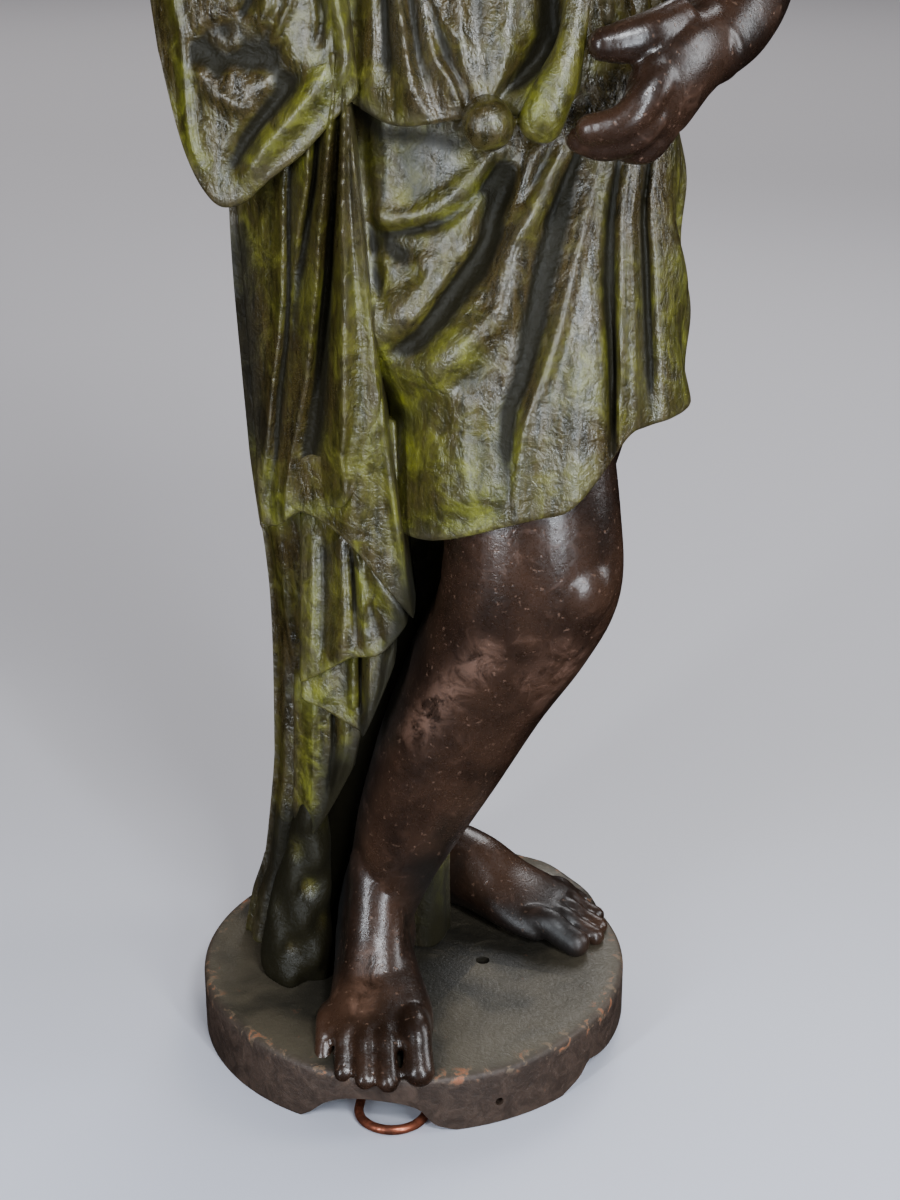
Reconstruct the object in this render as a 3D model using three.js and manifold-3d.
// A cast iron garden statue: a draped standing figure on a low round plinth, with a copper pipe that
// loops out through an arch in the plinth's rim. Millimetres, +Z up, the figure faces -Y.
// The casting is one solid. Its limbs and drapery are lofted shells that are joined at the end.
import * as THREE from "three";
import Module from "manifold-3d";
import { mergeVertices } from "three/addons/utils/BufferGeometryUtils.js";

// Driving dimensions of the plinth.
const plinthRadius = 180;
const plinthHeight = 54;
const plinthWall = 12;
const plinthRimRound = 5;
const plinthSides = 40;
const frontArchHeight = 28;
const frontArchAngle = -10.5;
const frontArchHalfAngle = 16.5;
const sideArchHeight = 15;
const sideArchAngles = [72, 162, 252];
const sideArchHalfAngle = 18;
const boltHoleRadius = 6;
const boltHoleAt = [59, -14];
const sideHoleRadius = 3.5;
const sideHoleAngle = 23;
const sideHoleHeight = 19;

// Driving dimensions of the copper pipe: the middle of its bend lies pipeReach outside the plinth's
// outer face.
const pipeRadius = 3.8;
const pipeAngle = -5.5;
const pipeBend = 27;
const pipeReach = 2.5;
const pipeInside = 45;

// The figure's height from its soles to the crown of the hair. Its pose, proportions and folds are
// given below as they are on a figure 1370 tall, and grow with figureHeight.
const figureHeight = 1370;
const figureScale = figureHeight / 1370;
const soleSink = 3;
const moundSetback = 4;

const degree = Math.PI / 180;
const wasm = await Module();
wasm.setup();

const mix = (a, b, t) => a + (b - a) * t;
const clamp = (value, low, high) => Math.min(Math.max(value, low), high);
const smooth = (edge0, edge1, value) => {
  const t = clamp((value - edge0) / (edge1 - edge0), 0, 1);
  return t * t * (3 - 2 * t);
};
const bump = (distance, width) => Math.exp(-((distance / width) ** 2));

// A row of numbers at t from 0 to 1 along a table of rows, on a Catmull-Rom curve.
function along(rows, t) {
  const place = clamp(t, 0, 1) * (rows.length - 1);
  const k = Math.min(Math.floor(place), rows.length - 2);
  const f = place - k;
  const row = (i) => rows[clamp(i, 0, rows.length - 1)];
  return rows[0].map((_, c) => {
    const [p, q, r, s] = [row(k - 1)[c], row(k)[c], row(k + 1)[c], row(k + 2)[c]];
    return q + 0.5 * f * (r - p + f * (2 * p - 5 * q + 4 * r - s + f * (3 * (q - r) + s - p)));
  });
}

// A row of numbers at a height, from a table whose first column is the height, falling or rising.
function atHeight(rows, z) {
  const rising = rows[rows.length - 1][0] > rows[0][0];
  const table = rising ? rows : [...rows].reverse();
  let k = 0;
  while (k < table.length - 2 && z > table[k + 1][0]) k += 1;
  const f = clamp((z - table[k][0]) / (table[k + 1][0] - table[k][0]), 0, 1);
  return along(table, (k + f) / (table.length - 1));
}

// A closed body from rings of points, all rings with as many points, capped flat at both ends.
function loft(rings) {
  const count = rings[0].length;
  const positions = rings.flat().flatMap((p) => [p.x, p.y, p.z]);
  const ends = [rings[0], rings[rings.length - 1]];
  for (const ring of ends) {
    const middle = ring.reduce((sum, p) => sum.add(p), new THREE.Vector3()).divideScalar(count);
    positions.push(middle.x, middle.y, middle.z);
  }
  const index = [];
  for (let r = 0; r < rings.length - 1; r += 1) {
    for (let i = 0; i < count; i += 1) {
      const a = r * count + i;
      const b = r * count + ((i + 1) % count);
      index.push(a, b, b + count, a, b + count, a + count);
    }
  }
  const first = rings.length * count;
  for (let i = 0; i < count; i += 1) {
    const j = (i + 1) % count;
    index.push(first, j, i);
    index.push(first + 1, (rings.length - 1) * count + i, (rings.length - 1) * count + j);
  }
  const geometry = new THREE.BufferGeometry();
  geometry.setAttribute("position", new THREE.Float32BufferAttribute(positions, 3));
  geometry.setIndex(index);
  return geometry;
}

// A closed body as a manifold solid with its faces pointing out.
function solid(geometry) {
  const bare = geometry.clone();
  for (const name of Object.keys(bare.attributes)) {
    if (name !== "position") bare.deleteAttribute(name);
  }
  const merged = mergeVertices(bare, 1e-4);
  const make = (triVerts) => new wasm.Manifold(
    new wasm.Mesh({ numProp: 3, vertProperties: merged.attributes.position.array, triVerts }));
  const triVerts = new Uint32Array(merged.index.array);
  const made = make(triVerts);
  if (made.volume() > 0) return made;
  for (let i = 0; i < triVerts.length; i += 3) {
    [triVerts[i + 1], triVerts[i + 2]] = [triVerts[i + 2], triVerts[i + 1]];
  }
  return make(triVerts);
}

// A limb through rows of [x, y, z, half width, half depth]. side is the direction of the width.
// relief adds to the radius: relief(angle, share of the length), angle 0 at -depth side.
function limb(rows, sides, steps, side = [1, 0, 0], relief = () => 0) {
  const rings = [];
  const reach = new THREE.Vector3(...side);
  for (let s = 0; s <= steps; s += 1) {
    const t = s / steps;
    const [x, y, z, wide, deep] = along(rows, t);
    const before = new THREE.Vector3(...along(rows, t - 0.02).slice(0, 3));
    const after = new THREE.Vector3(...along(rows, t + 0.02).slice(0, 3));
    const forward = after.sub(before).normalize();
    const across = reach.clone().addScaledVector(forward, -reach.dot(forward)).normalize();
    const front = new THREE.Vector3().crossVectors(across, forward);
    const ring = [];
    for (let i = 0; i < sides; i += 1) {
      const angle = (2 * Math.PI * i) / sides;
      const extra = relief(angle, t);
      ring.push(new THREE.Vector3(x, y, z)
        .addScaledVector(across, (wide + extra) * Math.sin(angle))
        .addScaledVector(front, (deep + extra) * Math.cos(angle)));
    }
    rings.push(ring);
  }
  return loft(rings);
}

// A round-ended limb: the table gets a small ring beyond each end.
function roundLimb(rows, sides, steps, side) {
  const first = rows[0];
  const last = rows[rows.length - 1];
  const cap = (row, next, out) => row.map((v, c) =>
    (c < 3 ? v + (v - next[c]) * out : v * 0.45));
  const lead = (a, b) => (0.5 * Math.min(a[3], a[4])) / Math.hypot(a[0] - b[0], a[1] - b[1], a[2] - b[2]);
  const start = cap(first, rows[1], lead(first, rows[1]));
  const end = cap(last, rows[rows.length - 2], lead(last, rows[rows.length - 2]));
  return limb([start, ...rows, end], sides, steps, side);
}

// An upright body through rows of [z, centre x, centre y, half width, half depth], from the lowest
// row up. Each column has an angle at its top and at its hem, in degrees from the front, -Y, towards
// +X, and the height of its fold. hem(angle) lifts the lowest ring.
function upright(rows, columns, levels, relief = (angle, z, down, fold) => fold, hem = () => rows[0][0]) {
  const top = rows[rows.length - 1][0];
  const rings = [];
  for (let s = 0; s <= levels; s += 1) {
    const down = 1 - s / levels;
    rings.push(columns.map(([topAngle, hemAngle, fold]) => {
      const angle = mix(topAngle, hemAngle, down ** 0.9);
      const z = mix(top, hem(hemAngle), down);
      const [, x, y, wide, deep] = atHeight(rows, z);
      const extra = relief(angle, z, down, fold);
      return new THREE.Vector3(
        x + (wide + extra) * Math.sin(angle * degree),
        y - (deep + extra) * Math.cos(angle * degree),
        z);
    }));
  }
  return loft(rings);
}

// Upright columns round a body, closer together on its front than on its back.
function columnsRound(front, back) {
  const list = [];
  for (let i = 0; i < front; i += 1) list.push(mix(-95, 95, i / front));
  for (let i = 0; i < back; i += 1) list.push(mix(95, 265, i / back));
  return list.map((angle) => [angle, angle, 0]);
}

// A column on each fold, and one in the groove between it and the next.
function pleats(folds) {
  return folds.flatMap((fold, i) => {
    const next = folds[(i + 1) % folds.length];
    const turn = i === folds.length - 1 ? 360 : 0;
    return [fold, [(fold[0] + next[0] + turn) / 2, (fold[1] + next[1] + turn) / 2, 0]];
  });
}

// A hanging panel of cloth: columns run across and rows run down from its top edge to its hem. The
// edge rows, evenly spread across, are [top z, hem z, x at top, x at hem, front y at top, at hem].
function panel(edges, columns, rows, backY, relief = () => 0) {
  const rings = [];
  for (let r = 0; r <= rows; r += 1) {
    const down = r / rows;
    const front = [];
    const back = [];
    for (let c = 0; c <= columns; c += 1) {
      const across = c / columns;
      const [topZ, hemZ, topX, hemX, topY, hemY] = along(edges, across);
      const x = mix(topX, hemX, down);
      const y = mix(topY, hemY, down);
      const z = mix(topZ, hemZ, down);
      front.push(new THREE.Vector3(x, y - relief(across, down), z));
      back.unshift(new THREE.Vector3(x, backY, z));
    }
    rings.push([...front, ...back]);
  }
  return loft(rings);
}

function join(parts) {
  return parts.reduce((whole, part) => whole.add(part));
}

// The plinth is a hollow disc: a flat top and a skirt that stands on pads between shallow arches.
function plinth() {
  const inner = plinthRadius - plinthWall;
  const profile = new THREE.Path();
  profile.moveTo(0, plinthHeight - plinthWall);
  profile.lineTo(inner, plinthHeight - plinthWall);
  profile.lineTo(inner, 0);
  profile.lineTo(plinthRadius, 0);
  profile.lineTo(plinthRadius, plinthHeight - plinthRimRound);
  const rim = [plinthRadius - plinthRimRound, plinthHeight - plinthRimRound];
  profile.absarc(...rim, plinthRimRound, 0, Math.PI / 2);
  profile.lineTo(0, plinthHeight);
  const turned = new THREE.LatheGeometry(profile.getPoints(2), plinthSides);
  turned.rotateX(Math.PI / 2);
  let body = solid(turned);
  body = body.subtract(solid(arch(frontArchHeight, frontArchAngle, frontArchHalfAngle)));
  for (const angle of sideArchAngles) {
    body = body.subtract(solid(arch(sideArchHeight, angle, sideArchHalfAngle)));
  }
  const boltHole = new THREE.CylinderGeometry(boltHoleRadius, boltHoleRadius, 3 * plinthWall, 12);
  boltHole.rotateX(Math.PI / 2).translate(...boltHoleAt, plinthHeight - plinthWall / 2);
  const sideHole = new THREE.CylinderGeometry(sideHoleRadius, sideHoleRadius, 3 * plinthWall, 10);
  sideHole.translate(0, -(plinthRadius - plinthWall / 2), sideHoleHeight).rotateZ(sideHoleAngle * degree);
  return body.subtract(solid(boltHole)).subtract(solid(sideHole));
}

// A cutter for one arch in the skirt, standing at an angle from the front towards +X.
function arch(height, angle, halfAngle) {
  const half = plinthRadius * Math.sin(halfAngle * degree);
  const shape = new THREE.Shape();
  shape.moveTo(-half, -height);
  shape.lineTo(-half, 0);
  shape.quadraticCurveTo(-half, height, -half + height, height);
  shape.lineTo(half - height, height);
  shape.quadraticCurveTo(half, height, half, 0);
  shape.lineTo(half, -height);
  const depth = 4 * plinthWall;
  const cutter = new THREE.ExtrudeGeometry(shape, { depth, bevelEnabled: false, curveSegments: 3 });
  cutter.rotateX(Math.PI / 2).translate(0, 3 * plinthWall - plinthRadius, 0);
  return cutter.rotateZ(angle * degree);
}

// The copper pipe lies on the ground, and its bend shows under the front arch.
function pipe() {
  const bendY = -(plinthRadius + pipeReach - pipeBend);
  const inside = bendY + pipeInside;
  const points = [new THREE.Vector3(-pipeBend, inside, pipeRadius)];
  for (let i = 0; i <= 12; i += 1) {
    const angle = (Math.PI * i) / 12;
    const [across, ahead] = [pipeBend * Math.cos(angle), pipeBend * Math.sin(angle)];
    points.push(new THREE.Vector3(-across, bendY - ahead, pipeRadius));
  }
  points.push(new THREE.Vector3(pipeBend, inside, pipeRadius));
  const section = new THREE.Shape();
  section.absarc(0, 0, pipeRadius, 0, 2 * Math.PI);
  const route = new THREE.CatmullRomCurve3(points);
  const tube = new THREE.ExtrudeGeometry(section, { extrudePath: route, steps: 22, curveSegments: 4 });
  return tube.rotateZ(pipeAngle * degree);
}

// A foot from its heel point, pointing to an angle from the front towards +X. bigToe is 1 where the
// big toe is on the foot's +X side, seen from above with the toes towards -Y. droop lowers the tips.
function foot(heel, angle, bigToe, droop) {
  const ahead = new THREE.Vector3(Math.sin(angle), -Math.cos(angle), 0);
  const aside = new THREE.Vector3(Math.cos(angle), Math.sin(angle), 0);
  const place = ([f, s, z, wide, tall]) => {
    const p = new THREE.Vector3(heel[0], heel[1], 0);
    p.addScaledVector(ahead, f).addScaledVector(aside, s * bigToe);
    return [p.x, p.y, z, wide, tall];
  };
  const sole = [
    [6, 0, 24, 17, 20], [20, 0, 29, 27, 29], [45, 0, 36, 31, 37], [80, 1, 34, 33, 35],
    [112, 3, 25, 38, 26], [140, 4, 19, 43, 20], [160, 3, 15, 44, 15]];
  const parts = [solid(roundLimb(sole.map(place), 11, 6, aside.toArray()))];
  const toes = [
    { side: 30, root: 148, knuckle: 172, tip: 200, thick: 14 },
    { side: 8, root: 148, knuckle: 173, tip: 206, thick: 10 },
    { side: -8, root: 146, knuckle: 170, tip: 201, thick: 9.5 },
    { side: -23, root: 140, knuckle: 162, tip: 190, thick: 9 },
    { side: -37, root: 128, knuckle: 146, tip: 168, thick: 9 }];
  for (const { side, root, knuckle, tip, thick } of toes) {
    const bed = thick * 1.15;
    const rows = [
      [root, side, bed + 2, thick, thick], [knuckle, side * 1.04, bed + 5, thick, thick],
      [(knuckle + tip) / 2, side * 1.06, bed + 1 - droop * 0.3, thick * 0.9, thick * 0.9],
      [tip, side * 1.06, bed - 2 - droop, thick * 0.88, thick * 0.8]];
    parts.push(solid(roundLimb(rows.map(place), 5, 4, aside.toArray())));
  }
  return join(parts);
}

// Both legs, from the ankle up into the tunic.
function legs() {
  const right = [
    [-31, -14, 30, 33, 38], [-31, -15, 58, 33, 38], [-18, -22, 100, 35, 43], [-2, -30, 150, 43, 52],
    [23, -42, 215, 52, 59], [54, -60, 290, 59, 60], [80, -80, 345, 64, 58], [92, -92, 385, 68, 56],
    [92, -90, 430, 66, 58], [84, -74, 490, 67, 64], [72, -52, 550, 70, 70]];
  const left = [
    [3, 113, 30, 29, 33], [5, 112, 60, 30, 34], [14, 105, 100, 34, 38], [28, 90, 160, 42, 46],
    [42, 72, 230, 46, 52], [62, 55, 300, 48, 52], [84, 42, 360, 56, 58], [98, 30, 420, 58, 60],
    [110, 22, 480, 62, 66], [120, 16, 540, 70, 74]];
  const kneecap = [[116, -110, 415, 22, 22], [122, -120, 392, 28, 25], [112, -114, 360, 22, 22]];
  const instep = [
    [-28, -40, 112, 24, 22], [-30, -52, 82, 24, 22], [-31, -68, 58, 25, 20], [-31, -90, 38, 26, 16]];
  return join([
    solid(limb(right, 13, 11)), solid(limb(left, 11, 7)),
    solid(roundLimb(kneecap, 7, 4)), solid(roundLimb(instep, 7, 3)),
    foot([-37, 24], 3 * degree, 1, 12), foot([-17, 128], 60 * degree, -1, 2)]);
}

// The tunic's folds: [angle at the top, angle at the hem, height]. The front ones fan out from under
// the hand, across the thigh.
const tunicFolds = [
  [-64, -88, 3], [-34, -76, 3], [-4, -60, 12], [8, -31, 14], [17, -9, 15], [25, 18, 11], [31, 31, 9],
  [40, 47, 12], [51, 62, 9], [66, 78, 11], [90, 94, 9], [118, 119, 8], [145, 145, 8], [172, 171, 8],
  [199, 197, 8], [226, 224, 8], [256, 250, 7]];

// The tunic's skirt. Its hem rises from the figure's right knee to its left side, and above the hem
// the cloth is full in front of the right hip.
function skirt() {
  const rows = [
    [400, 90, -28, 112, 124], [450, 91, -27, 112, 123], [500, 93, -24, 112, 119], [600, 92, -14, 107, 110],
    [700, 90, 0, 103, 100], [760, 86, 5, 102, 88], [860, 76, 5, 90, 76]];
  const full = (angle, z) => 42 * bump(angle + 62, 30) * smooth(505, 585, z) * smooth(880, 800, z);
  const relief = (angle, z, down, fold) => fold * smooth(0, 0.25, down) + full(angle, z);
  const hem = (angle) => {
    if (angle > 100) return mix(505, 450, smooth(100, 240, angle));
    return 424 + 32 * smooth(-55, 12, angle) + 53 * smooth(8, 42, angle);
  };
  return solid(upright(rows, pleats(tunicFolds), 6, relief, hem));
}

// The tunic above the waist, with upright folds over the chest.
function bodice() {
  const rows = [
    [780, 84, 6, 100, 82], [840, 80, 5, 96, 80], [900, 73, 6, 100, 82], [960, 66, 4, 112, 92],
    [1010, 62, 2, 122, 96], [1060, 60, 10, 130, 84], [1095, 60, 18, 124, 68], [1120, 60, 22, 92, 52],
    [1136, 60, 22, 58, 42]];
  const folds = [-84, -66, -49, -34, -20, -6, 8, 22, 36, 51, 68, 86, 112, 180, 248].map((a) => [a, a, 7]);
  const relief = (angle, z, down, fold) => fold * smooth(1130, 1060, z);
  return solid(upright(rows, pleats(folds), 7, relief));
}

// The overfold that the left hand gathers: a pouch of cloth with a weight at its hem.
function overfold() {
  const edges = [
    [900, 738, -46, -40, -70, -96], [905, 727, -14, -8, -92, -132], [910, 732, 28, 28, -98, -150],
    [905, 738, 70, 62, -92, -150], [900, 730, 104, 96, -84, -150], [895, 748, 128, 118, -70, -135]];
  const relief = (across, down) => 12 * (0.5 - 0.5 * Math.cos(2 * Math.PI * 5 * across))
    * smooth(0.05, 0.5, down) - 10 * smooth(0.85, 1, down);
  const weight = new THREE.SphereGeometry(17.5, 8, 5);
  weight.translate(55.7, -158, 729.5);
  const roll = [
    [128, -118, 850, 20, 18], [118, -140, 815, 18, 18], [106, -150, 775, 18, 17],
    [90, -158, 738, 17, 15], [84, -156, 722, 13, 12]];
  return join([solid(panel(edges, 10, 5, -50, relief)), solid(weight), solid(roundLimb(roll, 8, 4))]);
}

// The cloak over the back, from the shoulders to the plinth, where it carries the casting. Behind the
// right leg its lower part lies back in a dark hollow.
function cloak() {
  const rows = [
    [-3, -58, 33, 86, 50], [45, -54, 32, 81, 50], [74, -49, 32, 76, 50], [123, -45, 31, 73, 52],
    [179, -41, 32, 71, 56], [323, -35, 36, 76, 64], [441, -30, 40, 92, 70], [641, -8, 46, 122, 78],
    [800, 20, 50, 140, 74], [960, 42, 50, 140, 70], [1060, 58, 45, 148, 55], [1110, 60, 38, 118, 42],
    [1135, 60, 34, 70, 30]];
  const folds = [];
  for (let angle = -60; angle < 300; angle += angle < 75 ? 45 : 15) folds.push([angle, angle, 8]);
  const relief = (angle, z, down, fold) => fold * smooth(1120, 980, z)
    - 26 * smooth(330, 240, z) * smooth(66, 40, Math.abs(angle + 5));
  return solid(upright(rows, pleats(folds), 9, relief));
}

// The cloak's folds in front of the right hip, and the tiers of its hanging end below them.
function cloakEnd() {
  const ridges = (count, height) => (across, down) =>
    height * (0.5 - 0.5 * Math.cos(2 * Math.PI * count * across)) * smooth(-0.3, 0.3, down);
  const folds = [
    [800, 410, -132, -113, -14, -40], [790, 414, -118, -100, -34, -52], [780, 428, -98, -84, -60, -64],
    [775, 440, -78, -62, -84, -84], [770, 452, -58, -42, -100, -98], [770, 529, -40, -17, -110, -109]];
  const flap = [
    [475, 427, -68, -64, -76, -80], [490, 414, -50, -41, -92, -95], [520, 384, -28, -17, -104, -106],
    [530, 360, -18, 5, -108, -112]];
  const second = [
    [500, 283, -84, -88, -42, -56], [500, 300, -66, -66, -56, -70], [505, 318, -46, -44, -76, -86],
    [505, 326, -24, -22, -92, -98], [505, 354, -8, 0, -100, -104]];
  const third = [
    [330, 268, -86, -88, -40, -52], [330, 262, -68, -66, -50, -62], [335, 252, -48, -42, -60, -74],
    [340, 254, -30, -34, -74, -82], [350, 318, -10, -10, -86, -94]];
  const fourth = [
    [280, 40, -92, -104, -32, -22], [280, 108, -76, -92, -42, -30], [280, 158, -56, -79, -50, -40],
    [290, 214, -28, -44, -60, -54]];
  return join([
    solid(panel(folds, 8, 5, 44, ridges(4, 13))), solid(panel(flap, 4, 2, -30)),
    solid(panel(second, 6, 2, 20, ridges(3, 9))), solid(panel(third, 4, 2, 20, ridges(2, 6))),
    solid(panel(fourth, 4, 2, 20, ridges(2, 6)))]);
}

// The swag of the cloak that hangs from the right forearm, with the cloth laid over the forearm.
function swag() {
  const edges = [
    [880, 770, -190, -174, -20, -50], [880, 702, -178, -157, -40, -68], [880, 668, -160, -137, -60, -82],
    [880, 667, -140, -116, -75, -90], [880, 686, -116, -93, -88, -98], [880, 704, -90, -70, -98, -106],
    [880, 730, -64, -45, -104, -112], [880, 745, -44, -30, -104, -110]];
  const relief = (across, down) => 8 * Math.cos(2 * Math.PI * 3 * down) * smooth(0, 0.3, down)
    - 12 * smooth(0.9, 1, down) - 18 * bump(down - 0.45, 0.2) * bump(across - 0.5, 0.3);
  const laid = [
    [-138, 66, 905, 46, 44], [-150, 20, 890, 52, 50], [-160, -30, 888, 52, 48], [-165, -64, 890, 46, 42]];
  return join([solid(panel(edges, 9, 7, 40, relief)), solid(roundLimb(laid, 9, 4))]);
}

// The arms, with short sleeves. The right one carries the cloak, the left hand gathers the tunic.
function arms() {
  const right = [
    [-92, 38, 1030, 43, 46], [-115, 46, 960, 40, 42], [-136, 54, 900, 38, 38],
    [-148, 40, 872, 38, 37], [-155, -10, 874, 37, 34], [-162, -60, 878, 31, 29], [-166, -108, 880, 25, 20]];
  const left = [
    [205, 38, 1030, 43, 46], [222, 46, 960, 40, 42], [234, 46, 895, 38, 39],
    [238, 32, 848, 41, 42], [234, -8, 812, 42, 42], [220, -55, 788, 37, 36], [202, -95, 772, 30, 27]];
  const rightSleeve = [
    [-30, 24, 1078, 44, 48], [-66, 30, 1068, 50, 53], [-89, 36, 1028, 53, 55], [-98, 40, 1000, 52, 53]];
  const leftSleeve = [
    [148, 24, 1078, 44, 48], [182, 30, 1068, 50, 53], [203, 36, 1028, 53, 55], [211, 40, 1000, 52, 53]];
  return join([
    solid(limb(right, 10, 7)), solid(limb(left, 10, 7)),
    solid(roundLimb(rightSleeve, 10, 4)), solid(roundLimb(leftSleeve, 10, 4))]);
}

// A hand from its palm and the rows of its thumb and four fingers.
function hand(palm, side, digits) {
  const parts = [solid(roundLimb(palm, 8, 4, side))];
  for (const digit of digits) parts.push(solid(roundLimb(digit, 5, 4, [0, 0, 1])));
  return join(parts);
}

function hands() {
  const left = hand([
    [202, -96, 772, 25, 29], [186, -126, 762, 22, 33], [170, -146, 747, 20, 35], [162, -154, 736, 17, 28],
  ], [0.6, -0.7, -0.3], [
    [[180, -126, 791, 15, 14], [160, -150, 785, 15, 14], [142, -157, 781, 14, 13], [130, -160, 780, 11, 11]],
    [[174, -150, 768, 13, 12], [160, -170, 751, 13, 12], [144, -176, 734, 12, 11], [122, -172, 728, 10, 10]],
    [[170, -152, 748, 12, 12], [156, -168, 728, 12, 11], [134, -166, 717, 11, 10], [116, -160, 719, 9, 9]],
    [[174, -144, 730, 12, 12], [160, -156, 714, 11, 10], [142, -160, 716, 10, 9], [126, -158, 720, 8, 8]],
  ]);
  const right = hand([
    [-166, -104, 880, 25, 20], [-166, -130, 880, 33, 19], [-165, -156, 878, 37, 18], [-164, -172, 874, 34, 15],
  ], [1, 0, 0], [
    [[-136, -132, 878, 12, 12], [-122, -152, 872, 12, 11], [-120, -172, 862, 11, 10], [-126, -188, 852, 9, 9]],
    [[-138, -166, 880, 12, 12], [-136, -190, 874, 11, 11], [-137, -198, 856, 10, 10], [-140, -188, 842, 9, 8]],
    [[-156, -168, 881, 12, 12], [-155, -196, 874, 11, 11], [-155, -203, 854, 10, 10], [-157, -192, 839, 9, 8]],
    [[-174, -166, 880, 12, 12], [-174, -192, 873, 11, 11], [-173, -199, 854, 10, 10], [-173, -188, 840, 9, 8]],
    [[-191, -160, 878, 11, 11], [-192, -181, 871, 10, 10], [-190, -188, 855, 9, 9], [-189, -180, 843, 8, 8]],
  ]);
  return join([left, right]);
}

// The head: a calm, regular face, with the eyes at half its height, and waved hair with a knot.
function head() {
  const skull = [
    [1186, 58, -50, 9, 9], [1196, 58, -38, 27, 37], [1212, 58, -20, 41, 55], [1235, 58, -6, 50, 69],
    [1260, 58, 2, 55, 76], [1290, 58, 8, 59, 81], [1320, 58, 10, 59, 79], [1345, 58, 12, 50, 64],
    [1358, 58, 12, 30, 40]];
  const features = (angle, z) => {
    const aside = Math.abs(angle) - 24;
    return 19 * bump(angle, 7) * smooth(1290, 1242, z) * smooth(1229, 1238, z)
      - 8 * bump(aside, 10) * bump(z - 1276, 11) + 4 * bump(aside, 6) * bump(z - 1275, 6)
      + 3 * bump(Math.abs(angle) - 20, 16) * bump(z - 1293, 7)
      + 5 * bump(angle, 14) * bump(z - 1219, 7) + 4 * bump(angle, 14) * bump(z - 1199, 7);
  };
  const locks = [
    [1214, 58, 18, 46, 64], [1240, 58, 15, 58, 77], [1270, 58, 12, 66, 86], [1300, 58, 12, 68, 88],
    [1330, 58, 13, 63, 80], [1352, 58, 14, 47, 60], [1364, 58, 14, 27, 34], [1370, 58, 14, 8, 10]];
  const hairline = (angle) => {
    const turn = Math.abs(((angle + 540) % 360) - 180);
    return 1326 - 60 * smooth(35, 90, turn) - 46 * smooth(90, 150, turn);
  };
  const waves = (angle, z) => 4 * Math.cos(angle * degree * 12 + z / 9) * smooth(1366, 1345, z);
  const knot = new THREE.SphereGeometry(30, 8, 5);
  knot.scale(1.1, 0.9, 0.9).translate(58, 100, 1288);
  const neck = [
    [60, 24, 1096, 52, 48], [59, 18, 1150, 44, 42], [58, 12, 1195, 42, 44], [58, 6, 1232, 42, 48]];
  return join([
    solid(upright(skull, columnsRound(18, 3), 14, features)),
    solid(upright(locks, columnsRound(12, 10), 6, waves, hairline)),
    solid(knot), solid(limb(neck, 9, 2))]);
}

// The low mound beside the left foot. It slopes down to the plinth's rim, moundSetback inside it.
function mound() {
  const shape = new THREE.SphereGeometry(1, 14, 7);
  shape.rotateX(Math.PI / 2).scale(88, 48, 18).rotateZ(-0.5).translate(106, 122, 0);
  const reach = (plinthRadius - moundSetback) / figureScale;
  const within = new THREE.CylinderGeometry(reach, reach, 40, plinthSides);
  return solid(shape).intersect(solid(within.rotateX(Math.PI / 2).translate(0, 0, 16)));
}

function statue() {
  const figure = join([
    legs(), skirt(), bodice(), overfold(), cloak(), cloakEnd(), swag(), arms(), hands(), head(), mound()]);
  return plinth().add(figure.scale(figureScale).translate(0, 0, plinthHeight - soleSink));
}

// A manifold solid as a named mesh with its own material.
function mesh(name, body, color, metalness, roughness) {
  const { vertProperties, triVerts, numProp } = body.getMesh();
  const geometry = new THREE.BufferGeometry();
  const positions = new Float32Array((vertProperties.length / numProp) * 3);
  for (let i = 0; i < positions.length / 3; i += 1) {
    positions.set(vertProperties.subarray(i * numProp, i * numProp + 3), i * 3);
  }
  geometry.setAttribute("position", new THREE.BufferAttribute(positions, 3));
  geometry.setIndex(new THREE.BufferAttribute(triVerts, 1));
  geometry.computeVertexNormals();
  const piece = new THREE.Mesh(geometry, new THREE.MeshStandardMaterial({ color, metalness, roughness }));
  piece.name = name;
  return piece;
}

const garden = new THREE.Group();
garden.name = "cast_iron_garden_statue";
garden.add(mesh("statue", statue(), 0x3d3526, 0.6, 0.45));
garden.add(mesh("copper_pipe", solid(pipe()), 0x8c4a2f, 0.9, 0.4));

// The origin sits under the middle of the whole part.
const middle = new THREE.Box3().setFromObject(garden).getCenter(new THREE.Vector3());
for (const piece of garden.children) piece.geometry.translate(-middle.x, -middle.y, 0);

export default garden;
